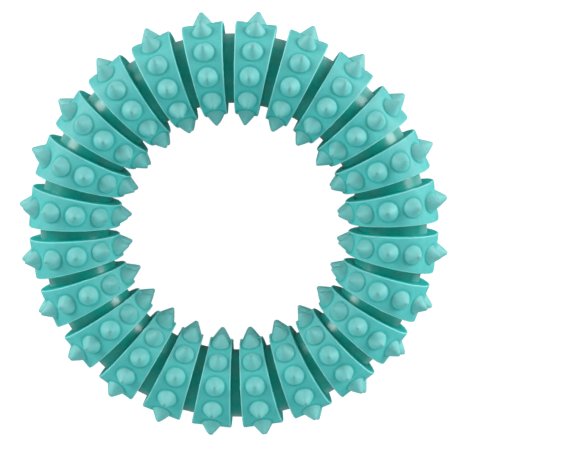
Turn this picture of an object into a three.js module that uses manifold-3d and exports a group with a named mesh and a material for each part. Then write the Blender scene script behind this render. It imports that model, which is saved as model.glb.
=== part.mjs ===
// Dog tug ring: a smooth round core that carries wedge-shaped bands set all over with cone studs.
// Millimetres, +Z up. The ring lies flat on its lowest stud tips, its axis is +Z, and the origin is at
// the middle of its footprint.

import * as THREE from 'three';
import { mergeVertices } from 'three/addons/utils/BufferGeometryUtils.js';
import Module from 'manifold-3d';

// Driving dimensions

// The ring axis to the middle of the section
const RING_RADIUS = 59.0;

// The core's oval section, across the ring and along its axis
const CORE_WIDTH = 25.2;
const CORE_HEIGHT = 24.4;

// The rubber of a band over the core, and the gap it keeps to the core
const BAND_WALL = 3.7;
const SEAT_GAP = 0.3;

// The bands round the ring, and the groove between two of them at the ring radius
const BAND_COUNT = 24;
const GROOVE_WIDTH = 3.7;

// The studs round each band, of which one stands on the outside of the ring: width at the crown, flat of
// the blunt tip, height over the crown, and how far the foot reaches below the crown
const STUDS_PER_BAND = 11;
const STUD_DIAMETER = 7.8;
const STUD_TIP_DIAMETER = 1.2;
const STUD_HEIGHT = 4.4;
const STUD_ROOT = 1.0;

// How much shorter the tips are that the ring rests on, where they are level
const REST_TRIM = 0.1;

// Facets of the round forms: a stud stands on every second edge of the crown, and the core runs straight
// through each band and bends in the middle of each groove
const CROWN_FACETS = 2 * STUDS_PER_BAND;
const CORE_FACETS = 12;
const CORE_STEPS = BAND_COUNT;
const STUD_FACETS = 8;

// Finishes
const BAND_RUBBER = { color: '#5bc3b7', roughness: 0.62, metalness: 0 };
const CORE_RUBBER = { color: '#0f9f90', roughness: 0.28, metalness: 0 };

// Sizes that follow
const SEAT_HALF_WIDTH = CORE_WIDTH / 2 + SEAT_GAP;
const SEAT_HALF_HEIGHT = CORE_HEIGHT / 2 + SEAT_GAP;
const CROWN_HALF_WIDTH = SEAT_HALF_WIDTH + BAND_WALL;
const CROWN_HALF_HEIGHT = SEAT_HALF_HEIGHT + BAND_WALL;
const OUTER_REACH = RING_RADIUS + CROWN_HALF_WIDTH + STUD_HEIGHT;
const BAND_PITCH = (2 * Math.PI) / BAND_COUNT;
const BAND_HALF_ANGLE = BAND_PITCH / 2 - Math.asin(GROOVE_WIDTH / 2 / RING_RADIUS);
const OUTSIDE = Math.PI / 2;
const STUD_ANGLES = [];
for (let i = 0; i < STUDS_PER_BAND; i += 1) {
  STUD_ANGLES.push(OUTSIDE + (2 * Math.PI * i) / STUDS_PER_BAND);
}
const HALF_THICKNESS = Math.max(...STUD_ANGLES.map(tipHeight)) - REST_TRIM;

const wasm = await Module();
wasm.setup();

// A closed geometry as a solid that can be joined and cut
function toSolid(geometry) {
  const shell = geometry.clone();
  shell.deleteAttribute('normal');
  shell.deleteAttribute('uv');
  const merged = mergeVertices(shell);
  const mesh = new wasm.Mesh({
    numProp: 3,
    vertProperties: Float32Array.from(merged.attributes.position.array),
    triVerts: Uint32Array.from(merged.index.array),
  });
  return new wasm.Manifold(mesh);
}

function toGeometry(solid) {
  const mesh = solid.getMesh();
  const geometry = new THREE.BufferGeometry();
  geometry.setAttribute('position', new THREE.BufferAttribute(mesh.vertProperties, 3));
  geometry.setIndex(new THREE.BufferAttribute(mesh.triVerts, 1));
  geometry.computeVertexNormals();
  return geometry;
}

// A point of an oval section, at an angle from the ring's axis towards the outside of the ring
function ovalPoint(angle, halfWidth, halfHeight) {
  const reach = 1 / Math.hypot(Math.sin(angle) / halfWidth, Math.cos(angle) / halfHeight);
  return new THREE.Vector2(Math.sin(angle), Math.cos(angle)).multiplyScalar(reach);
}

// The way that the oval faces at that point, as an angle from the ring's axis
function ovalFacing(angle, halfWidth, halfHeight) {
  const point = ovalPoint(angle, halfWidth, halfHeight);
  return Math.atan2(point.x / halfWidth ** 2, point.y / halfHeight ** 2);
}

// The height of a stud's tip over the middle of the section
function tipHeight(angle) {
  const base = ovalPoint(angle, CROWN_HALF_WIDTH, CROWN_HALF_HEIGHT);
  const facing = ovalFacing(angle, CROWN_HALF_WIDTH, CROWN_HALF_HEIGHT);
  return base.y + STUD_HEIGHT * Math.cos(facing);
}

// The whole oval at its place beside the ring's axis, anticlockwise from its outermost point, with that
// point last again
function ovalOutline(halfWidth, halfHeight, facets) {
  const outline = [];
  for (let i = 0; i <= facets; i += 1) {
    const angle = OUTSIDE - (2 * Math.PI * i) / facets;
    const point = ovalPoint(angle, halfWidth, halfHeight);
    outline.push(point.add(new THREE.Vector2(RING_RADIUS, 0)));
  }
  return outline;
}

// The core's section, or a larger one for its seat, turned round the ring's axis
function coreGeometry(halfWidth, halfHeight) {
  const outline = ovalOutline(halfWidth, halfHeight, CORE_FACETS);
  const core = new THREE.LatheGeometry(outline, CORE_STEPS, Math.PI / 2 + BAND_PITCH / 2);
  return core.rotateX(Math.PI / 2);
}

// The crown of a band: an oval bar that runs straight along the ring's tangent
function crownBar() {
  const length = 2 * OUTER_REACH * Math.tan(BAND_HALF_ANGLE);
  const outline = ovalOutline(CROWN_HALF_WIDTH, CROWN_HALF_HEIGHT, CROWN_FACETS);
  const section = new THREE.Shape(outline.slice(0, -1));
  const bar = new THREE.ExtrudeGeometry(section, { depth: length, bevelEnabled: false });
  return bar.rotateX(Math.PI / 2).translate(0, length / 2, 0);
}

// The slice of the ring that one band may fill, between two planes through the ring's axis and the two
// planes that the ring can rest on
function bandSlice() {
  const reach = OUTER_REACH + STUD_ROOT;
  const halfWidth = reach * Math.tan(BAND_HALF_ANGLE);
  const outline = [
    new THREE.Vector2(0, 0),
    new THREE.Vector2(reach, -halfWidth),
    new THREE.Vector2(reach, halfWidth),
  ];
  const depth = 2 * HALF_THICKNESS;
  const slice = new THREE.ExtrudeGeometry(new THREE.Shape(outline), { depth, bevelEnabled: false });
  return slice.translate(0, 0, -HALF_THICKNESS);
}

// A cone stud that points up, with its foot below the crown
function studGeometry() {
  const tip = STUD_TIP_DIAMETER / 2;
  const slope = (STUD_DIAMETER / 2 - tip) / STUD_HEIGHT;
  const foot = STUD_DIAMETER / 2 + STUD_ROOT * slope;
  const profile = [
    new THREE.Vector2(0, -STUD_ROOT),
    new THREE.Vector2(foot, -STUD_ROOT),
    new THREE.Vector2(tip, STUD_HEIGHT),
    new THREE.Vector2(0, STUD_HEIGHT),
  ];
  const cone = new THREE.LatheGeometry(profile, STUD_FACETS);
  return cone.rotateX(Math.PI / 2);
}

// A stud on its place on the crown, square to the crown's surface
function placedStud(angle) {
  const base = ovalPoint(angle, CROWN_HALF_WIDTH, CROWN_HALF_HEIGHT);
  const facing = ovalFacing(angle, CROWN_HALF_WIDTH, CROWN_HALF_HEIGHT);
  return studGeometry().rotateY(facing).translate(RING_RADIUS + base.x, 0, base.y);
}

// One band as moulded: the crown and its studs in one piece, cut by its two flanks and by its seat
function bandGeometry() {
  let band = toSolid(crownBar());
  for (const angle of STUD_ANGLES) {
    band = band.add(toSolid(placedStud(angle)));
  }
  band = band.intersect(toSolid(bandSlice()));
  band = band.subtract(toSolid(coreGeometry(SEAT_HALF_WIDTH, SEAT_HALF_HEIGHT)));
  return toGeometry(band);
}

function makeCore() {
  const geometry = coreGeometry(CORE_WIDTH / 2, CORE_HEIGHT / 2);
  const core = new THREE.Mesh(geometry, new THREE.MeshStandardMaterial(CORE_RUBBER));
  core.name = 'core_ring';
  return core;
}

function makeBand(index, geometry) {
  const band = new THREE.Mesh(geometry, new THREE.MeshStandardMaterial(BAND_RUBBER));
  band.name = `studded_band_${String(index + 1).padStart(2, '0')}`;
  band.rotation.z = index * BAND_PITCH;
  return band;
}

const ring = new THREE.Group();
ring.name = 'dog_tug_ring';
ring.position.z = HALF_THICKNESS;
ring.add(makeCore());

const sharedBand = bandGeometry();
for (let i = 0; i < BAND_COUNT; i += 1) {
  ring.add(makeBand(i, sharedBand));
}

export default ring;
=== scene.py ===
import math

import bpy
import numpy as np
from bpy.props import FloatProperty, FloatVectorProperty, IntProperty, PointerProperty
from mathutils import Matrix, Vector, noise


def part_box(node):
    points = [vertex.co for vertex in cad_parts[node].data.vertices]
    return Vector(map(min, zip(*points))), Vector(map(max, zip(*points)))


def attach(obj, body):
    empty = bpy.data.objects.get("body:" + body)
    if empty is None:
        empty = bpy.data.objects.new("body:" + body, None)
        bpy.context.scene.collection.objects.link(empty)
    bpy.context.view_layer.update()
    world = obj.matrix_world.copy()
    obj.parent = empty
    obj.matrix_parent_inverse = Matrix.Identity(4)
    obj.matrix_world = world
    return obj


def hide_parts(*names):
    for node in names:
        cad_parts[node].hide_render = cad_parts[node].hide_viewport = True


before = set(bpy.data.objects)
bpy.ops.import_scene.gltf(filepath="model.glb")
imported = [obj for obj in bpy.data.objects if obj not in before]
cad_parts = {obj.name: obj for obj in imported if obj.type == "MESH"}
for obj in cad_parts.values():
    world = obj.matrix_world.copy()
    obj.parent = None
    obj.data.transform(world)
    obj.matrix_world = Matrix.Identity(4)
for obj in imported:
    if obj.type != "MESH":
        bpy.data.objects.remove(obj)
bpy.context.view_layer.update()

bl_info = {
    "name": "Dog tug ring",
    "version": (1, 0, 0),
    "blender": (4, 5, 0),
    "location": "View3D > Sidebar > Tug ring",
    "description": "Dresses the solid parts of a studded rubber tug ring and sets up its studio stage",
    "category": "Object",
}

# Sizes read from the solid parts, in metres. The first band lies on +X, and the core's corners lie on its
# round form, while its box is a little short of it.
CORE_NODE = "core_ring"
BAND_NODES = sorted(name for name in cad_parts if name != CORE_NODE)
BAND_COUNT = len(BAND_NODES)
BODY = "root"
core_low, core_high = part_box(CORE_NODE)
band_low, band_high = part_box(BAND_NODES[0])
core_reach = [corner.co.xy.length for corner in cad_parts[CORE_NODE].data.vertices]
RING_RADIUS = (max(core_reach) + min(core_reach)) / 2
MIDDLE = (core_low.z + core_high.z) / 2
CORE_HALF_WIDTH = (max(core_reach) - min(core_reach)) / 2
CORE_HALF_HEIGHT = (core_high.z - core_low.z) / 2
BAND_PITCH = 2 * math.pi / BAND_COUNT

# Where the first stud of a band stands, as an angle round the section from the ring's axis
OUTSIDE = math.pi / 2


class TugRingBands(bpy.types.PropertyGroup):
    """Sizes and finish of the studded bands"""

    studs: IntProperty(name="Studs", description="Studs round one band", default=11, min=4)
    stud_height: FloatProperty(
        name="Stud height", description="From the crown to the tip", default=0.0044, unit="LENGTH"
    )
    stud_diameter: FloatProperty(
        name="Stud diameter", description="Where a stud leaves the crown", default=0.0071, unit="LENGTH"
    )
    tip_radius: FloatProperty(
        name="Tip radius", description="Rounding of a stud's tip", default=0.00075, unit="LENGTH"
    )
    stud_bulge: FloatProperty(
        name="Stud bulge", description="How far a stud's side swells", default=0.00012, unit="LENGTH"
    )
    crease_width: FloatProperty(
        name="Crease width", description="Sunk ring round a stud's foot", default=0.001, unit="LENGTH"
    )
    crease_depth: FloatProperty(
        name="Crease depth", description="Depth of that ring", default=0.0002, unit="LENGTH"
    )
    rim_radius: FloatProperty(
        name="Rim radius", description="Rounding between crown and flank", default=0.0005, unit="LENGTH"
    )
    seat_gap: FloatProperty(
        name="Seat gap", description="Between a band and the core", default=0.00008, unit="LENGTH"
    )
    wear: FloatProperty(
        name="Wear", description="How much shorter a blunt stud may be", default=0.0005, unit="LENGTH"
    )
    flash: FloatProperty(
        name="Flash", description="Height of the mould's parting line", default=0.00018, unit="LENGTH"
    )
    unevenness: FloatProperty(
        name="Unevenness", description="How far the moulded skin wanders", default=0.00005, unit="LENGTH"
    )
    seed: IntProperty(name="Seed", description="Picks the small differences between bands", default=7)
    colour: FloatVectorProperty(
        name="Colour", description="Rubber of the bands", subtype="COLOR", size=3, min=0, max=1,
        default=(0.028, 0.467, 0.447),
    )
    # Painted shade: a darker, deeper teal at a stud's foot stands in for the shade in its crease
    crease_shade_colour: FloatVectorProperty(
        name="Crease colour", description="Rubber at the foot of a stud", subtype="COLOR", size=3,
        min=0, max=1, default=(0.0, 0.38, 0.34),
    )
    tip_colour: FloatVectorProperty(
        name="Tip colour", description="Rubbed tip of a stud", subtype="COLOR", size=3, min=0, max=1,
        default=(0.07, 0.28, 0.24),
    )
    # Painted sheen: paler studs stand in for the pale, lit look of their faces
    stud_sheen_colour: FloatVectorProperty(
        name="Painted sheen colour", description="Pale painted sheen on the studs", subtype="COLOR", size=3,
        min=0, max=1, default=(0.2, 0.54, 0.53),
    )
    # Painted highlight: a pale line along a band's rims
    rim_highlight_colour: FloatVectorProperty(
        name="Rim colour", description="Painted highlight on a band's rim", subtype="COLOR", size=3, min=0, max=1,
        default=(0.45, 0.80, 0.80),
    )
    flank_colour: FloatVectorProperty(
        name="Flank colour", description="Cleaner rubber between the bands", subtype="COLOR", size=3,
        min=0, max=1, default=(0.0, 0.50, 0.455),
    )


class TugRingCore(bpy.types.PropertyGroup):
    """Sizes and finish of the core"""

    flash: FloatProperty(
        name="Flash", description="Height of the core's lines of flash", default=0.0003, unit="LENGTH"
    )
    flash_width: FloatProperty(
        name="Flash width", description="Width of one line of flash", default=0.0009, unit="LENGTH"
    )
    flash_spread: FloatProperty(
        name="Flash spread", description="From one line of flash to the other", default=0.007,
        unit="LENGTH",
    )
    # Painted shade: the core is the bands' rubber, made darker to stand in for the shade in the grooves
    colour: FloatVectorProperty(
        name="Colour", description="Rubber of the core", subtype="COLOR", size=3, min=0, max=1,
        default=(0.0, 0.37, 0.315),
    )
    # Painted reflection: a paler outside of the core stands in for the lit floor that it reflects
    painted_reflection_colour: FloatVectorProperty(
        name="Painted reflection colour", description="Pale painted reflection on the outside of the core", subtype="COLOR",
        size=3, min=0, max=1, default=(0.35, 0.62, 0.6),
    )


class TugRingStage(bpy.types.PropertyGroup):
    """Camera, lights and floor"""

    camera_distance: FloatProperty(
        name="Camera distance", description="Camera to the ring's middle", default=0.4766, unit="LENGTH"
    )
    pixels_per_metre: FloatProperty(
        name="Pixels per metre", description="Scale of the photograph at the ring", default=2688.1
    )
    tilt: FloatProperty(
        name="Tilt", description="Camera above the ring's axis", default=math.radians(8.20),
        subtype="ANGLE",
    )
    pan: FloatProperty(
        name="Pan", description="Camera beside the ring's axis", default=math.radians(-2.55),
        subtype="ANGLE",
    )
    roll: FloatProperty(
        name="Roll", description="Turn of the first band from the picture's right",
        default=math.radians(8.66), subtype="ANGLE",
    )
    ring_x: FloatProperty(name="Ring X", description="Ring's middle in the photograph", default=233.44)
    ring_y: FloatProperty(name="Ring Y", description="Ring's middle in the photograph", default=227.73)
    lamp_distance: FloatProperty(
        name="Lamp distance", description="Lamps and reflectors to the ring", default=1.0, unit="LENGTH"
    )
    softbox_size: FloatProperty(
        name="Softbox size", description="Side of a softbox", default=0.6, unit="LENGTH"
    )
    softbox_colour: FloatVectorProperty(
        name="Softbox colour", description="White of the softboxes", subtype="COLOR", size=3,
        min=0, max=1, default=(1.0, 1.0, 1.0),
    )
    left_power: FloatProperty(
        name="Left softbox", description="Watts of the left softbox", default=7.4, unit="POWER"
    )
    right_power: FloatProperty(
        name="Right softbox", description="Watts of the right softbox", default=8.6, unit="POWER"
    )
    top_size: FloatProperty(
        name="Top light size", description="Side of the light above the picture", default=1.2,
        unit="LENGTH",
    )
    top_power: FloatProperty(
        name="Top light", description="Watts of the light above the picture", default=3.2,
        unit="POWER",
    )
    reflector_size: FloatProperty(
        name="Reflector size", description="Side of a reflector", default=1.2, unit="LENGTH"
    )
    reflector_power: FloatProperty(
        name="Reflector power", description="Watts that one reflector gives back", default=6.4,
        unit="POWER",
    )
    room_colour: FloatVectorProperty(
        name="Room colour", description="Cool white of the room and the reflectors", subtype="COLOR",
        size=3, min=0, max=1, default=(0.85, 1.0, 1.0),
    )
    ambient: FloatProperty(name="Ambient", description="Light from overhead", default=0.09)
    horizon: FloatProperty(name="Horizon", description="Light from the walls all round", default=0.06)
    floor_size: FloatProperty(
        name="Floor size", description="Side of the floor", default=6.0, unit="LENGTH"
    )
    floor_glow: FloatProperty(
        name="Floor glow", description="White that the camera sees on the floor", default=0.985
    )
    mirrored_glow: FloatProperty(
        name="Mirrored glow", description="Share of that white in mirrors and glass", default=0.06
    )
    floor_colour: FloatVectorProperty(
        name="Floor colour", description="Pale floor", subtype="COLOR", size=3, min=0, max=1,
        default=(0.9, 0.9, 0.9),
    )
    shadow_colour: FloatVectorProperty(
        name="Shadow colour", description="Part of the floor's white that a shadow takes away",
        subtype="COLOR", size=3, min=0, max=1, default=(0.12, 0.12, 0.12),
    )


# Oval sections, at an angle from the ring's axis towards the outside of the ring


def oval_point(angle, half_width, half_height):
    """Outward and upward place of the oval's point at an angle."""
    reach = 1 / np.hypot(np.sin(angle) / half_width, np.cos(angle) / half_height)
    return reach * np.sin(angle), reach * np.cos(angle)


def oval_normal(angle, half_width, half_height):
    """Outward and upward part of the way that the oval faces there."""
    outward, upward = oval_point(angle, half_width, half_height)
    outward = outward / half_width**2
    upward = upward / half_height**2
    length = np.hypot(outward, upward)
    return outward / length, upward / length


# The masks that a mesh carries for its material. The crease mask paints shade at a stud's foot, the rim
# mask paints a highlight on the rims and lines of flash and also picks where rims are ragged, and the
# stud mask paints sheen on the studs and a reflection on the outside of the core
MASKS = ("crease", "tip", "rim", "flank", "stud")
CREASE_SHADE, TIP, RIM_HIGHLIGHT, FLANK, PAINTED_SHEEN = np.eye(len(MASKS))

# Points closer together than this are one, in metres
WELD_STEP = 1e-7

# How near the cosine of an angle has to be to that of a line of flash to lie on it
ON_LINE = 1e-6


class Shape:
    """Points of a mesh with their facings, lifts, stud numbers and masks, gathered grid by grid."""

    def __init__(self):
        self.points = []
        self.facings = []
        self.lifts = []
        self.studs = []
        self.masks = []
        self.faces = []
        self.count = 0

    def add(self, points, facings, lifts, studs, masks):
        """Take in a grid of points, and return the number of its first point."""
        first = self.count
        self.points.append(points.reshape(-1, 3))
        self.facings.append(np.broadcast_to(facings, points.shape).reshape(-1, 3))
        self.lifts.append(np.broadcast_to(lifts, points.shape[:-1]).reshape(-1))
        self.studs.append(np.full(points.size // 3, studs))
        wide = np.broadcast_to(masks, points.shape[:-1] + (len(MASKS),))
        self.masks.append(wide.reshape(-1, len(MASKS)))
        self.count += points.size // 3
        return first

    def add_rings(self, first, rows, columns):
        """Quads between rows of a grid whose columns close on themselves."""
        for row in range(rows - 1):
            for column in range(columns):
                follow = (column + 1) % columns
                near = first + row * columns
                far = near + columns
                self.faces.append((near + column, far + column, far + follow, near + follow))

    def add_fan(self, middle, first, columns):
        """Triangles from one point to a ring of points."""
        for column in range(columns):
            self.faces.append((middle, first + column, first + (column + 1) % columns))

    def weld(self):
        """One array each, with points that lie together made one."""
        points = np.concatenate(self.points)
        keys = np.round(points / WELD_STEP).astype(np.int64)
        unused, kept, place = np.unique(keys, axis=0, return_index=True, return_inverse=True)
        place = place.reshape(-1)
        self.faces = [tuple(int(place[i]) for i in face) for face in self.faces]
        self.points = points[kept]
        self.facings = np.concatenate(self.facings)[kept]
        self.lifts = np.concatenate(self.lifts)[kept]
        self.studs = np.concatenate(self.studs)[kept]
        self.masks = np.concatenate(self.masks)[kept]


# Rings of a stud: shares of the turn round its tip, and of the way from there down to its foot
TIP_SHARES = (0.35, 0.7, 1.0)
SIDE_SHARES = (0.2, 0.4, 0.6, 0.8, 0.93, 1.0)

# Rounds that find the sharp apex over a rounded tip
APEX_ROUNDS = 8


def stud_profile(sizes):
    """Rings of a stud from the tip down, as shares of the foot's radius and heights over the crown."""
    foot = sizes.stud_diameter / 2
    half_angle = math.atan(foot / sizes.stud_height)
    for unused in range(APEX_ROUNDS):
        apex = sizes.stud_height + sizes.tip_radius * (1 / math.sin(half_angle) - 1)
        half_angle = math.atan(foot / apex)
    ball = apex - sizes.tip_radius / math.sin(half_angle)
    rings = []
    for share in TIP_SHARES:
        turn = share * (math.pi / 2 - half_angle)
        rings.append((sizes.tip_radius * math.sin(turn), ball + sizes.tip_radius * math.cos(turn)))
    start_radius, start_height = rings[-1]
    for share in SIDE_SHARES:
        radius = start_radius + share * (foot - start_radius)
        height = start_height * (1 - share) + sizes.stud_bulge * 4 * share * (1 - share)
        rings.append((radius, height))
    return [(radius / foot, height) for radius, height in rings]


class BandShape:
    """The moulded form that every band shares, on +X, with the ring's middle at z = 0."""

    # Points round a stud and its cell, and along one side of the cell
    COLUMNS = 40
    SIDE_COLUMNS = COLUMNS // 4

    # Shares of the room to the rims that a stud's foot and its crease may take, and how sharply the foot
    # gives way there
    FOOT_SHARE = 0.955
    CREASE_SHARE = 0.8
    FOOT_POWER = 8

    # Half the angle over which the crown's arc is measured, and a floor for divisors
    ARC_STEP = 1e-4
    LEAST_ACROSS = 1e-3

    # Shares of the foot's radius where the stud's mask (painted sheen) ends and the crease's (painted shade)
    # begins, how fast the tip's mask fades from ring to ring, how high the parting line is on a stud, and
    # how strong its mask (a painted highlight) on the crown
    STUD_END = 0.95
    CREASE_START = 0.99
    TIP_FADE = 0.4
    STUD_RIDGE = 0.6
    RIDGE_MASK = 0.5

    # Rings round a stud's foot, as shares of the crease's width, depth and painted shade, and the rings from
    # there to the cell's border, as shares of the way
    CREASE_RINGS = ((0.25, 1.0, 1.0), (0.6, 0.6, 0.5), (1.0, 0.0, 0.0))
    BORDER_SHARES = (0.3, 0.65, 1.0)

    # Rows of a side: shares of the turn over the rim, of the way down the flank and of half the bore
    RIM_SHARES = (0.0, 0.25, 0.5, 0.75, 1.0)
    FLANK_SHARES = (0.15, 0.4, 0.7, 0.9, 1.0)
    BORE_SHARES = (-0.5, 0.0, 0.5)

    def __init__(self, sizes):
        self.sizes = sizes
        self.half_width = band_high.x - RING_RADIUS - sizes.stud_height
        self.half_height = CORE_HALF_HEIGHT + self.half_width - CORE_HALF_WIDTH
        self.slope = band_high.y / (RING_RADIUS + self.half_width)
        self.half_angle = math.atan(self.slope)
        self.cell = math.pi / sizes.studs
        self.shape = Shape()
        for stud in range(sizes.studs):
            self.add_cell(stud)
        self.add_sides()
        self.shape.weld()

    def crown(self, angle, across, lift):
        """Points over the crown, and the way that the crown faces there."""
        outward, upward = oval_point(angle, self.half_width, self.half_height)
        facing_out, facing_up = oval_normal(angle, self.half_width, self.half_height)
        facing = np.stack([facing_out, np.zeros_like(facing_out), facing_up], axis=-1)
        points = np.stack([RING_RADIUS + outward, across, upward], axis=-1)
        return points + facing * lift[..., None], facing

    def edge(self, angle):
        """Half the crown's width at an angle, up to where its rims begin."""
        outward, unused = oval_point(angle, self.half_width, self.half_height)
        return (RING_RADIUS + outward) * self.slope - self.sizes.rim_radius

    def parting(self, angle):
        """Height of the parting line, which runs round the ring's inside and outside."""
        return np.where(np.abs(np.cos(angle)) < ON_LINE, self.sizes.flash, 0.0)

    def flank(self, sign):
        """The way that a flank faces."""
        return np.array((-math.sin(self.half_angle), sign * math.cos(self.half_angle), 0.0))

    def add_cell(self, stud):
        """One stud and its share of the crown, as rings from the tip to the cell's square border."""
        sizes = self.sizes
        middle = OUTSIDE + stud * 2 * self.cell
        around = np.arange(self.COLUMNS) * 2 * math.pi / self.COLUMNS
        along = np.cos(around)
        across = np.sin(around)
        ahead = np.array(oval_point(middle + self.ARC_STEP, self.half_width, self.half_height))
        behind = np.array(oval_point(middle - self.ARC_STEP, self.half_width, self.half_height))
        arc = float(np.hypot(*(ahead - behind))) / (2 * self.ARC_STEP)

        # The cell's border, evenly spaced along its four sides
        half_side = self.SIDE_COLUMNS // 2
        walk = (np.arange(self.COLUMNS) + half_side) % self.COLUMNS
        side = walk // self.SIDE_COLUMNS
        place = (walk % self.SIDE_COLUMNS) / half_side - 1
        ones = np.ones_like(place)
        border_along = np.choose(side, [ones, -place, -ones, place])
        border_across = np.choose(side, [place, ones, -place, -ones])
        border_angle = middle + border_along * self.cell
        border = border_across * self.edge(border_angle)

        # A stud's foot keeps clear of the rims where the band is narrow
        foot = sizes.stud_diameter / 2
        edge = self.edge(middle + foot * along / arc)
        room = self.FOOT_SHARE * edge / np.maximum(np.abs(across), self.LEAST_ACROSS)
        foot = (foot**-self.FOOT_POWER + room**-self.FOOT_POWER) ** (-1 / self.FOOT_POWER)
        crease = np.minimum(sizes.crease_width, self.CREASE_SHARE * (room / self.FOOT_SHARE - foot))

        angles, acrosses, lifts, masks = [], [], [], []

        def ring(distance, lift, mask, ridge=1.0):
            angles.append(middle + distance * along / arc)
            acrosses.append(distance * across)
            lifts.append(lift + ridge * self.parting(angles[-1]))
            masks.append(np.tile(mask, (self.COLUMNS, 1)))

        for row, (share, height) in enumerate(stud_profile(sizes)):
            # A stud's rings carry its painted sheen
            mask = PAINTED_SHEEN * (share < self.STUD_END) + TIP * max(0.0, 1 - self.TIP_FADE * row)
            # From the stud's last ring on, the crease's painted shade
            mask = mask + CREASE_SHADE * (share > self.CREASE_START)
            ring(share * foot, height, mask, ridge=self.STUD_RIDGE * share)
        for share, depth, shade in self.CREASE_RINGS:
            ring(foot + share * crease, -depth * sizes.crease_depth, shade * CREASE_SHADE)
        outer = foot + crease
        for share in self.BORDER_SHARES:
            blended = middle + (1 - share) * outer * along / arc + share * (border_angle - middle)
            angles.append(blended)
            acrosses.append((1 - share) * outer * across + share * border)
            lifts.append(self.parting(blended))
            # The parting line across the crown carries half the rims' painted highlight
            masks.append(np.outer(self.RIDGE_MASK * (lifts[-1] > 0), RIM_HIGHLIGHT))

        lift = np.array(lifts)
        points, facing = self.crown(np.array(angles), np.array(acrosses), lift)
        first = self.shape.add(points, facing, np.maximum(lift, 0), stud, np.array(masks))
        self.shape.add_rings(first, len(lifts), self.COLUMNS)
        tip_lift = np.array([sizes.stud_height])
        tip, tip_facing = self.crown(np.array([middle]), np.zeros(1), tip_lift)
        tip_first = self.shape.add(tip, tip_facing, tip_lift, stud, TIP + PAINTED_SHEEN)
        self.shape.add_fan(tip_first, first, self.COLUMNS)

    def add_sides(self):
        """From one edge of the crown over its rim, down the flank, through the bore and up again."""
        sizes = self.sizes
        columns = sizes.studs * self.SIDE_COLUMNS
        angle = OUTSIDE + (np.arange(columns) / self.SIDE_COLUMNS - 0.5) * 2 * self.cell
        outward, upward = oval_point(
            angle, CORE_HALF_WIDTH + sizes.seat_gap, CORE_HALF_HEIGHT + sizes.seat_gap
        )
        reach = RING_RADIUS + outward
        rows, facings, masks = [], [], []

        def rim(sign, turn):
            lift = self.parting(angle) * math.cos(turn)
            top, facing = self.crown(angle, sign * self.edge(angle), lift)
            blend = math.cos(turn) * facing + math.sin(turn) * self.flank(sign)
            return top + sizes.rim_radius * (blend - facing), blend

        def bore(turn):
            return np.stack([reach * math.cos(turn), reach * math.sin(turn), upward], axis=-1)

        def side(sign):
            part = []
            for share in self.RIM_SHARES:
                points, facing = rim(sign, share * math.pi / 2)
                # The turn over the rim carries the painted highlight, strongest halfway round
                part.append((points, facing, RIM_HIGHLIGHT * (1 - abs(2 * share - 1)) + FLANK * share))
            start = part[-1][0]
            finish = bore(sign * self.half_angle)
            for share in self.FLANK_SHARES:
                facing = np.broadcast_to(self.flank(sign), start.shape)
                part.append((start + share * (finish - start), facing, FLANK))
            return part

        strip = side(-1)
        inward = np.stack([-np.sin(angle), np.zeros(columns), -np.cos(angle)], axis=-1)
        for share in self.BORE_SHARES:
            strip.append((bore(share * self.half_angle), inward, FLANK))
        strip.extend(reversed(side(1)))
        for points, facing, mask in strip:
            rows.append(points)
            facings.append(facing)
            masks.append(np.tile(mask, (columns, 1)))
        first = self.shape.add(np.array(rows), np.array(facings), np.array(0.0), -1, np.array(masks))
        self.shape.add_rings(first, len(rows), columns)


# How far one seed lies from the next in the noise
SEED_STEPS = (1.7, 2.9, 0.6)


def wander(points, size, seed):
    """Smooth noise at each point, between about -1 and 1."""
    shift = Vector([seed * step for step in SEED_STEPS])
    return np.array([noise.noise(Vector(point) / size + shift) for point in points])


def add_object(name, data):
    """A new object in the scene."""
    item = bpy.data.objects.new(name, data)
    bpy.context.scene.collection.objects.link(item)
    return item


def new_piece(name, points, faces, masks):
    """A smooth-shaded closed mesh that carries its masks."""
    mesh = bpy.data.meshes.new(name)
    mesh.from_pydata(points.tolist(), [], faces)
    for column, mask in enumerate(MASKS):
        layer = mesh.attributes.new(mask, "FLOAT", "POINT")
        layer.data.foreach_set("value", np.ascontiguousarray(masks[:, column], dtype=np.float32))
    mesh.shade_smooth()
    if mesh.validate():
        raise RuntimeError(f"{name} has faces that don't fit together")
    return add_object(name, mesh)


# Small differences between bands: how far the studs' heights spread as a share, their tips in metres and
# their wear as a share, and how much of a worn tip is left
HEIGHT_SPREAD = 0.012
LEAN_SPREAD = 0.00006
WEAR_SPREAD = 0.5
WORN_LEFT = 0.25

# A height that no point reaches, in metres, for the points of no stud
UNCUT = 1

# Sizes of the noise that makes the skin uneven and the rims ragged, in metres, where the rims' noise begins
# to show, and how many times the flash it reaches
SKIN_NOISE = 0.006
RIM_NOISE = 0.0012
RAGGED_START = 0.25
RAGGED_GAIN = 4


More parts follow.
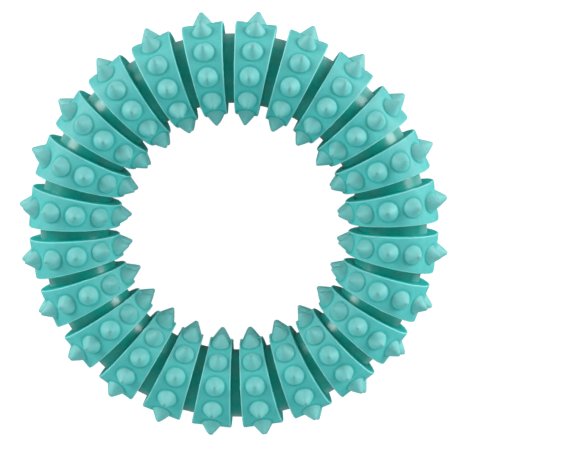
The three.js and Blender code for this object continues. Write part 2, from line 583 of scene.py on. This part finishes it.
def make_band(form, index, sizes):
    """One band: the shared form with its own small differences, turned to its place on the ring."""
    shape = form.shape
    draw = np.random.default_rng(sizes.seed + index)
    taller = np.append(draw.normal(0, HEIGHT_SPREAD, sizes.studs), 0)
    lean = np.vstack([draw.normal(0, LEAN_SPREAD, (sizes.studs, 3)), np.zeros(3)])
    share = np.clip(shape.lifts / sizes.stud_height, 0, 1)
    worn = sizes.wear * np.minimum(np.abs(draw.normal(0, WEAR_SPREAD, sizes.studs)), 1)
    cut = np.append(sizes.stud_height - worn, UNCUT)[shape.studs]
    lifts = shape.lifts * (1 + taller[shape.studs])
    lifts = np.minimum(lifts, cut + WORN_LEFT * np.maximum(lifts - cut, 0))
    points = shape.points + shape.facings * (lifts - shape.lifts)[:, None]
    points = points + lean[shape.studs] * share[:, None]
    slow = wander(shape.points, SKIN_NOISE, sizes.seed + index)
    fine = wander(shape.points, RIM_NOISE, sizes.seed + index + BAND_COUNT)
    ragged = np.maximum(fine - RAGGED_START, 0) * shape.masks[:, MASKS.index("rim")]
    drift = sizes.unevenness * slow + sizes.flash * ragged * RAGGED_GAIN
    points = points + shape.facings * drift[:, None]
    place = np.array(Matrix.Rotation(index * BAND_PITCH, 3, "Z"))
    points = points @ place.T + np.array((0.0, 0.0, MIDDLE))
    points[:, 2] = np.clip(points[:, 2], band_low.z, band_high.z)
    return new_piece(BAND_NODES[index] + "_rubber", points, shape.faces, shape.masks)


# The core's grid: steps for each band, degrees round a quarter of the section up to a line of flash, and
# places across that line in halves of its width
CORE_STEPS = 14
CORE_DEGREES = (0, 9, 18, 27, 36, 45, 54, 63)
LINE_PLACES = (-2, -1, 0, 1, 2)

# Height of the flash as shares: an even part, a fine and a slow part, and the sizes of their noise in metres
FLASH_EVEN = 0.6
FLASH_FINE = 0.8
FLASH_SLOW = 0.5
FINE_NOISE = 0.0025
SLOW_NOISE = 0.011

# Where the painted reflection on the outside begins, as a sine, and how far it takes to be whole
REFLECTION_START = 0.7
REFLECTION_RISE = 0.25


def core_points(sizes):
    """Grid of the core's points and masks, with two lines of flash that carry a painted highlight, and a
    painted reflection on its outside.
    """
    steps = BAND_COUNT * CORE_STEPS
    half = math.degrees(sizes.flash_width / 2 / CORE_HALF_WIDTH)
    line = 90 - math.degrees(sizes.flash_spread / 2 / CORE_HALF_WIDTH)
    quarter = [*CORE_DEGREES, *(line + place * half for place in LINE_PLACES)]
    upper = quarter + [90] + [180 - angle for angle in reversed(quarter)]
    degrees = upper[:-1] + [180 + angle for angle in upper[:-1]]
    angle = np.radians(degrees)
    outward, upward = oval_point(angle, CORE_HALF_WIDTH, CORE_HALF_HEIGHT)
    facing_out, facing_up = oval_normal(angle, CORE_HALF_WIDTH, CORE_HALF_HEIGHT)
    past_line = np.abs(np.cos(angle)) - math.cos(math.radians(line))
    on_line = (np.abs(past_line) < ON_LINE) & (np.sin(angle) > 0)
    rows = []
    for step in range(steps):
        turn = step * 2 * math.pi / steps
        spot = Vector((math.cos(turn), math.sin(turn), 0.0)) * RING_RADIUS
        ragged = FLASH_EVEN + FLASH_FINE * abs(noise.noise(spot / FINE_NOISE))
        ragged += FLASH_SLOW * noise.noise(spot / SLOW_NOISE)
        lift = np.where(on_line, sizes.flash * ragged, 0.0)
        reach = RING_RADIUS + outward + lift * facing_out
        height = MIDDLE + upward + lift * facing_up
        rows.append(np.stack([reach * math.cos(turn), reach * math.sin(turn), height], axis=-1))
    # A painted reflection on the outside, and a painted highlight on the lines of flash
    outside = np.clip((np.sin(angle) - REFLECTION_START) / REFLECTION_RISE, 0, 1)
    masks = np.tile(np.outer(on_line, RIM_HIGHLIGHT) + np.outer(outside, PAINTED_SHEEN), (steps, 1))
    return np.array(rows), masks


# Shader node groups and materials

# Places of a Mix node's factor and two colours among its inputs, and of its colour among its outputs
MIX_INPUTS = (0, 6, 7)
MIX_RESULT = 2

WHITE = (1.0, 1.0, 1.0, 1.0)


def new_group(name, inputs, outputs):
    """An empty shader node group with named sockets, as (group, input node, output node)."""
    group = bpy.data.node_groups.new(name, "ShaderNodeTree")
    for socket, kind, value in inputs:
        item = group.interface.new_socket(name=socket, in_out="INPUT", socket_type=kind)
        item.default_value = value
    for socket, kind in outputs:
        group.interface.new_socket(name=socket, in_out="OUTPUT", socket_type=kind)
    return group, group.nodes.new("NodeGroupInput"), group.nodes.new("NodeGroupOutput")


def feed(tree, value, socket):
    """Link another socket to a socket, or set it to a value."""
    if isinstance(value, bpy.types.NodeSocket):
        tree.links.new(value, socket)
    else:
        socket.default_value = value


def set_inputs(node, values):
    """Set a node's own sockets by their names."""
    for name, value in values.items():
        node.inputs[name].default_value = value


def math_node(tree, operation, first, second):
    """A Math node whose inputs are sockets or numbers."""
    node = tree.nodes.new("ShaderNodeMath")
    node.operation = operation
    for socket, value in zip(node.inputs, (first, second)):
        feed(tree, value, socket)
    return node.outputs["Value"]


def mix_colour(tree, factor, first, second):
    """A Mix node for colours whose inputs are sockets or values."""
    node = tree.nodes.new("ShaderNodeMix")
    node.data_type = "RGBA"
    for place, value in zip(MIX_INPUTS, (factor, first, second)):
        feed(tree, value, node.inputs[place])
    return node.outputs[MIX_RESULT]


def mask_node(tree, name):
    """One of the mesh's masks."""
    node = tree.nodes.new("ShaderNodeAttribute")
    node.attribute_name = name
    return node.outputs["Fac"]


def noise_node(tree, scale, detail, roughness):
    """A Noise texture in the object's own metres."""
    place = tree.nodes.new("ShaderNodeTexCoord")
    node = tree.nodes.new("ShaderNodeTexNoise")
    tree.links.new(place.outputs["Object"], node.inputs["Vector"])
    feed(tree, scale, node.inputs["Scale"])
    set_inputs(node, {"Detail": detail, "Roughness": roughness})
    return node.outputs["Fac"]


# How much the slow mottle adds to the height of the grain
MOTTLE_SWELL = 0.6


def moulded_grain_group():
    """Fine grain of a moulded rubber skin: a height for bump, a slow mottle and a fast speckle."""
    group, inside, outside = new_group(
        "moulded_grain",
        [
            ("Grain per metre", "NodeSocketFloat", 2600.0),
            ("Mottle per metre", "NodeSocketFloat", 260.0),
        ],
        [
            ("Height", "NodeSocketFloat"),
            ("Mottle", "NodeSocketFloat"),
            ("Speckle", "NodeSocketFloat"),
        ],
    )
    grain = noise_node(group, inside.outputs["Grain per metre"], detail=3.0, roughness=0.6)
    mottle = noise_node(group, inside.outputs["Mottle per metre"], detail=4.0, roughness=0.55)
    swell = math_node(group, "MULTIPLY", mottle, MOTTLE_SWELL)
    group.links.new(math_node(group, "ADD", grain, swell), outside.inputs["Height"])
    group.links.new(mottle, outside.inputs["Mottle"])
    group.links.new(grain, outside.inputs["Speckle"])
    return group


# How far the brightness follows the mottle and the speckle
MOTTLE_TINT = 0.35
SPECKLE_TINT = 0.5

# How strongly the masks tint the rubber, in the order in which they do: painted shade in the creases, a
# painted highlight on the rims and grey tips
MASK_TINTS = (("crease", 0.5), ("rim", 0.65), ("tip", 0.65))


def swing(tree, value, reach):
    """A noise value about its middle, times a reach."""
    return math_node(tree, "MULTIPLY", math_node(tree, "SUBTRACT", value, 0.5), reach)


def rubber_tint_group():
    """Rubber colour with painted sheen on studs, a painted highlight on rims and painted shade in creases;
    it also greys on tips and wanders a little.
    """
    group, inside, outside = new_group(
        "rubber_tint",
        [
            ("Colour", "NodeSocketColor", (0.1, 0.5, 0.45, 1.0)),
            ("Crease colour", "NodeSocketColor", (0.0, 0.3, 0.27, 1.0)),
            ("Tip colour", "NodeSocketColor", (0.09, 0.27, 0.22, 1.0)),
            ("Painted sheen colour", "NodeSocketColor", (0.24, 0.52, 0.51, 1.0)),
            ("Rim colour", "NodeSocketColor", (0.45, 0.8, 0.8, 1.0)),
            ("Flank colour", "NodeSocketColor", (0.01, 0.44, 0.39, 1.0)),
            ("Mottle", "NodeSocketFloat", 0.5),
            ("Speckle", "NodeSocketFloat", 0.5),
        ],
        [("Colour", "NodeSocketColor")],
    )
    slow = swing(group, inside.outputs["Mottle"], MOTTLE_TINT)
    fast = swing(group, inside.outputs["Speckle"], SPECKLE_TINT)
    change = math_node(group, "ADD", slow, fast)
    wandering = group.nodes.new("ShaderNodeHueSaturation")
    group.links.new(inside.outputs["Colour"], wandering.inputs["Color"])
    group.links.new(math_node(group, "ADD", 1.0, change), wandering.inputs["Value"])
    # Painted sheen: paler studs, and on the core a paler outside that stands in for a reflection
    stud = math_node(group, "MULTIPLY", mask_node(group, "stud"), inside.outputs["Mottle"])
    sheen_painted = mix_colour(group, stud, wandering.outputs["Color"], inside.outputs["Painted sheen colour"])
    tinted = mix_colour(group, mask_node(group, "flank"), sheen_painted, inside.outputs["Flank colour"])
    # Painted shade in the creases, a painted highlight on the rims and lines of flash, then the grey tips
    for mask, strength in MASK_TINTS:
        factor = math_node(group, "MULTIPLY", mask_node(group, mask), strength)
        tinted = mix_colour(group, factor, tinted, inside.outputs[f"{mask.capitalize()} colour"])
    group.links.new(tinted, outside.inputs["Colour"])
    return group


def shared_group(tree, name, build):
    """A node of the group of that name, which is built the first time that it is asked for."""
    node = tree.nodes.new("ShaderNodeGroup")
    node.node_tree = bpy.data.node_groups.get(name) or build()
    return node


def opaque(colour):
    """A colour with full alpha."""
    return (*colour, 1.0)


def new_material(name):
    """A node material, as (material, node tree, shader)."""
    material = bpy.data.materials.new(name)
    material.use_nodes = True
    return material, material.node_tree, material.node_tree.nodes["Principled BSDF"]


# Finish of the two rubbers: sockets of the shader, of the grain and of the bump
BAND_FINISH = {"Specular IOR Level": 0.05, "Coat Roughness": 0.7, "Coat IOR": 2.2}
BAND_GRAIN = {"Grain per metre": 2600.0, "Mottle per metre": 260.0}
BAND_BUMP = {"Strength": 0.55, "Distance": 0.00006}
CORE_FINISH = {"Specular IOR Level": 0.1, "Coat Weight": 1.0, "Coat Roughness": 0.27, "Coat IOR": 1.6}
CORE_GRAIN = {"Grain per metre": 900.0, "Mottle per metre": 120.0}
CORE_BUMP = {"Strength": 0.2, "Distance": 0.00005}

# Roughness: its least value, what the mottle adds to it, and what it loses on the flanks
BAND_ROUGHNESS = 0.48
CORE_ROUGHNESS = 0.4
MOTTLE_ROUGHNESS = 0.12
FLANK_SMOOTHING = 0.2

# Weight of the bands' pale coat, and how far a crease shelters the rubber from it
BAND_COAT = 0.95
CREASE_SHELTER = 0.5


def new_rubber(name, finish, grain_sizes, bump_sizes, colours):
    """Rubber with its grain and tint, as (material, node tree, shader, the grain's mottle)."""
    material, tree, shader = new_material(name)
    set_inputs(shader, finish)
    grain = shared_group(tree, "moulded_grain", moulded_grain_group)
    set_inputs(grain, grain_sizes)
    tint = shared_group(tree, "rubber_tint", rubber_tint_group)
    set_inputs(tint, {socket: opaque(colour) for socket, colour in colours.items()})
    tree.links.new(grain.outputs["Mottle"], tint.inputs["Mottle"])
    tree.links.new(grain.outputs["Speckle"], tint.inputs["Speckle"])
    tree.links.new(tint.outputs["Colour"], shader.inputs["Base Color"])
    bump = tree.nodes.new("ShaderNodeBump")
    set_inputs(bump, bump_sizes)
    tree.links.new(grain.outputs["Height"], bump.inputs["Height"])
    tree.links.new(bump.outputs["Normal"], shader.inputs["Normal"])
    return material, tree, shader, grain.outputs["Mottle"]


def mottled_roughness(tree, mottle, least):
    """Roughness that rises a little with the mottle."""
    return math_node(tree, "ADD", math_node(tree, "MULTIPLY", mottle, MOTTLE_ROUGHNESS), least)


def band_material(sizes):
    """Matte grained rubber on the crown and studs, smoother on the flanks."""
    colours = {
        "Colour": sizes.colour,
        "Crease colour": sizes.crease_shade_colour,
        "Tip colour": sizes.tip_colour,
        "Painted sheen colour": sizes.stud_sheen_colour,
        "Rim colour": sizes.rim_highlight_colour,
        "Flank colour": sizes.flank_colour,
    }
    material, tree, shader, mottle = new_rubber(
        "band_rubber_matte", BAND_FINISH, BAND_GRAIN, BAND_BUMP, colours
    )
    flank = mask_node(tree, "flank")
    smoother = math_node(tree, "MULTIPLY", flank, -FLANK_SMOOTHING)
    rough = math_node(tree, "ADD", mottled_roughness(tree, mottle, BAND_ROUGHNESS), smoother)
    tree.links.new(rough, shader.inputs["Roughness"])
    crease = math_node(tree, "MULTIPLY", mask_node(tree, "crease"), CREASE_SHELTER)
    sheltered = math_node(tree, "MAXIMUM", flank, crease)
    open_air = math_node(tree, "SUBTRACT", 1.0, sheltered)
    tree.links.new(math_node(tree, "MULTIPLY", open_air, BAND_COAT), shader.inputs["Coat Weight"])
    return material


def core_material(sizes):
    """Smooth, semi-gloss rubber, painted darker for the shade in the grooves, with a painted reflection on
    its outside.
    """
    colours = {"Colour": sizes.colour, "Painted sheen colour": sizes.painted_reflection_colour}
    material, tree, shader, mottle = new_rubber(
        "core_rubber_gloss", CORE_FINISH, CORE_GRAIN, CORE_BUMP, colours
    )
    tree.links.new(mottled_roughness(tree, mottle, CORE_ROUGHNESS), shader.inputs["Roughness"])
    return material


def background_ray(tree, mirrored):
    """1 on rays that see a plain white background, a share of it in mirrors and glass, 0 on other rays."""
    path = tree.nodes.new("ShaderNodeLightPath").outputs
    second = math_node(tree, "MAXIMUM", path["Is Glossy Ray"], path["Is Transmission Ray"])
    second = math_node(tree, "MULTIPLY", second, mirrored)
    return math_node(tree, "MAXIMUM", path["Is Camera Ray"], second)


def floor_material(stage):
    """Pale matt floor that glows white to the camera and still takes the ring's shadow."""
    material, tree, shader = new_material("studio_floor")
    set_inputs(shader, {"Roughness": 1.0, "Specular IOR Level": 0.0, "Emission Color": WHITE})
    seen = background_ray(tree, stage.mirrored_glow)
    plain = background_ray(tree, 1.0)
    shade = mix_colour(tree, plain, opaque(stage.floor_colour), opaque(stage.shadow_colour))
    tree.links.new(shade, shader.inputs["Base Color"])
    glow = math_node(tree, "MULTIPLY", seen, stage.floor_glow)
    tree.links.new(glow, shader.inputs["Emission Strength"])
    return material


# Stage

# The photograph's frame in pixels, the camera's sensor in millimetres and the depth of its view in metres
PHOTO_WIDTH = 567
PHOTO_HEIGHT = 459
SENSOR_WIDTH = 36.0
VIEW_DEPTH = 20.0

# The ways from the ring to the lamps in the picture: right, up and towards the camera
SOFTBOX_WAYS = {"left": (-0.83, 0.42, 0.35), "right": (0.84, 0.39, 0.35)}
TOP_WAY = (0.0, 0.87, 0.5)
REFLECTOR_WAYS = {"left": (-0.64, -0.63, 0.43), "right": (0.64, -0.63, 0.43)}


def camera_axes(stage):
    """Right, up and towards the camera, as seen in the photograph, in the ring's own frame."""
    turn = Matrix.Rotation(stage.tilt, 3, "X") @ Matrix.Rotation(stage.pan, 3, "Y")
    turn = turn @ Matrix.Rotation(stage.roll, 3, "Z")
    return turn[0], turn[1], turn[2]


def add_camera(stage):
    """A long lens that puts the ring where the photograph has it."""
    right, up, towards = camera_axes(stage)
    middle = Vector((0.0, 0.0, MIDDLE))
    data = bpy.data.cameras.new("photo_camera")
    data.sensor_width = SENSOR_WIDTH
    data.lens = data.sensor_width * stage.camera_distance * stage.pixels_per_metre / PHOTO_WIDTH
    data.clip_end = VIEW_DEPTH
    camera = add_object("photo_camera", data)
    aside = ((PHOTO_WIDTH - 1) / 2 - stage.ring_x) / stage.pixels_per_metre
    above = (stage.ring_y - (PHOTO_HEIGHT - 1) / 2) / stage.pixels_per_metre
    position = middle + towards * stage.camera_distance
    back = (position - (middle + right * aside + up * above)).normalized()
    side = up.cross(back).normalized()
    axes = Matrix((side, back.cross(side), back)).transposed()
    camera.matrix_world = Matrix.Translation(position) @ axes.to_4x4()
    bpy.context.scene.camera = camera


def add_lamp(name, stage, way, size, power):
    """A square soft light that faces the ring's middle, from its way in the picture."""
    right, up, towards = camera_axes(stage)
    back = (right * way[0] + up * way[1] + towards * way[2]).normalized()
    data = bpy.data.lights.new(name, "AREA")
    data.shape = "SQUARE"
    data.size = size
    data.energy = power
    lamp = add_object(name, data)
    lamp.location = Vector((0.0, 0.0, MIDDLE)) + back * stage.lamp_distance
    lamp.rotation_euler = back.to_track_quat("Z", "Y").to_euler()
    return lamp


def add_lamps(stage):
    """Two softboxes, and a top light and two reflectors that the gloss doesn't show."""
    powers = {"left": stage.left_power, "right": stage.right_power}
    for name, way in SOFTBOX_WAYS.items():
        lamp = add_lamp(f"softbox_{name}", stage, way, stage.softbox_size, powers[name])
        lamp.data.color = stage.softbox_colour
    lamp = add_lamp("light_top", stage, TOP_WAY, stage.top_size, stage.top_power)
    lamp.visible_glossy = False
    size = stage.reflector_size
    for name, way in REFLECTOR_WAYS.items():
        lamp = add_lamp(f"reflector_{name}", stage, way, size, stage.reflector_power)
        lamp.data.color = stage.room_colour
        lamp.visible_glossy = False


def set_world(stage):
    """A room with pale walls, which the camera sees as plain white."""
    world = bpy.data.worlds.new("studio_world")
    bpy.context.scene.world = world
    world.use_nodes = True
    tree = world.node_tree
    background = tree.nodes["Background"]
    seen = background_ray(tree, stage.mirrored_glow)
    shade = mix_colour(tree, seen, opaque(stage.room_colour), WHITE)
    tree.links.new(shade, background.inputs["Color"])
    place = tree.nodes.new("ShaderNodeTexCoord")
    split = tree.nodes.new("ShaderNodeSeparateXYZ")
    tree.links.new(place.outputs["Generated"], split.inputs["Vector"])
    height = tree.nodes.new("ShaderNodeMapRange")
    tree.links.new(split.outputs["Z"], height.inputs["Value"])
    set_inputs(height, {"To Min": stage.horizon, "To Max": stage.ambient})
    strength = math_node(tree, "MAXIMUM", seen, height.outputs["Result"])
    tree.links.new(strength, background.inputs["Strength"])


def add_floor(stage):
    """A square floor under the ring's lowest stud tips."""
    half = stage.floor_size / 2
    mesh = bpy.data.meshes.new("studio_floor")
    corners = [(-half, -half, 0.0), (half, -half, 0.0), (half, half, 0.0), (-half, half, 0.0)]
    mesh.from_pydata(corners, [], [(0, 1, 2, 3)])
    mesh.materials.append(floor_material(stage))
    floor = add_object("studio_floor", mesh)


# Operators, panel and registration


class TUGRING_OT_core(bpy.types.Operator):
    """Make the smooth core ring"""

    bl_idname = "tug_ring.make_core"
    bl_label = "Make core ring"

    def execute(self, context):
        sizes = context.scene.tug_ring_core
        grid, masks = core_points(sizes)
        rows, columns = grid.shape[:2]
        faces = []
        for row in range(rows):
            ahead = (row + 1) % rows
            for column in range(columns):
                follow = (column + 1) % columns
                near = row * columns
                far = ahead * columns
                faces.append((near + column, near + follow, far + follow, far + column))
        core = new_piece("core_ring_rubber", grid.reshape(-1, 3), faces, masks)
        core.data.materials.append(core_material(sizes))
        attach(core, BODY)
        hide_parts(CORE_NODE)
        return {"FINISHED"}


class TUGRING_OT_bands(bpy.types.Operator):
    """Make the studded bands round the core"""

    bl_idname = "tug_ring.make_bands"
    bl_label = "Make studded bands"

    def execute(self, context):
        sizes = context.scene.tug_ring_bands
        material = band_material(sizes)
        form = BandShape(sizes)
        for index, node in enumerate(BAND_NODES):
            band = make_band(form, index, sizes)
            band.data.materials.append(material)
            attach(band, BODY)
            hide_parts(node)
        return {"FINISHED"}


class TUGRING_OT_stage(bpy.types.Operator):
    """Make the floor, the lights and the camera"""

    bl_idname = "tug_ring.make_stage"
    bl_label = "Make studio stage"

    def execute(self, context):
        stage = context.scene.tug_ring_stage
        context.scene.view_settings.view_transform = "Standard"
        add_camera(stage)
        add_lamps(stage)
        set_world(stage)
        add_floor(stage)
        return {"FINISHED"}


class TUGRING_PT_panel(bpy.types.Panel):
    """Pieces and settings of the tug ring"""

    bl_idname = "TUGRING_PT_panel"
    bl_label = "Tug ring"
    bl_space_type = "VIEW_3D"
    bl_region_type = "UI"
    bl_category = "Tug ring"

    def draw(self, context):
        for operator, group in OPERATORS:
            self.layout.operator(operator.bl_idname)
            settings = getattr(context.scene, group)
            for name in settings.__annotations__:
                self.layout.prop(settings, name)


OPERATORS = (
    (TUGRING_OT_stage, "tug_ring_stage"),
    (TUGRING_OT_core, "tug_ring_core"),
    (TUGRING_OT_bands, "tug_ring_bands"),
)
SETTINGS = (
    ("tug_ring_stage", TugRingStage),
    ("tug_ring_core", TugRingCore),
    ("tug_ring_bands", TugRingBands),
)


def register():
    """Make the settings, the operators and the panel known."""
    for name, settings in SETTINGS:
        bpy.utils.register_class(settings)
        setattr(bpy.types.Scene, name, PointerProperty(type=settings))
    for operator, unused in OPERATORS:
        bpy.utils.register_class(operator)
    bpy.utils.register_class(TUGRING_PT_panel)


def unregister():
    """Take them away again, in the opposite order."""
    bpy.utils.unregister_class(TUGRING_PT_panel)
    for operator, unused in reversed(OPERATORS):
        bpy.utils.unregister_class(operator)
    for name, settings in reversed(SETTINGS):
        delattr(bpy.types.Scene, name)
        bpy.utils.unregister_class(settings)


def main():
    """Build the stage and the pieces."""
    register()
    bpy.ops.tug_ring.make_stage()
    bpy.ops.tug_ring.make_core()
    bpy.ops.tug_ring.make_bands()


if __name__ == "__main__":
    main()
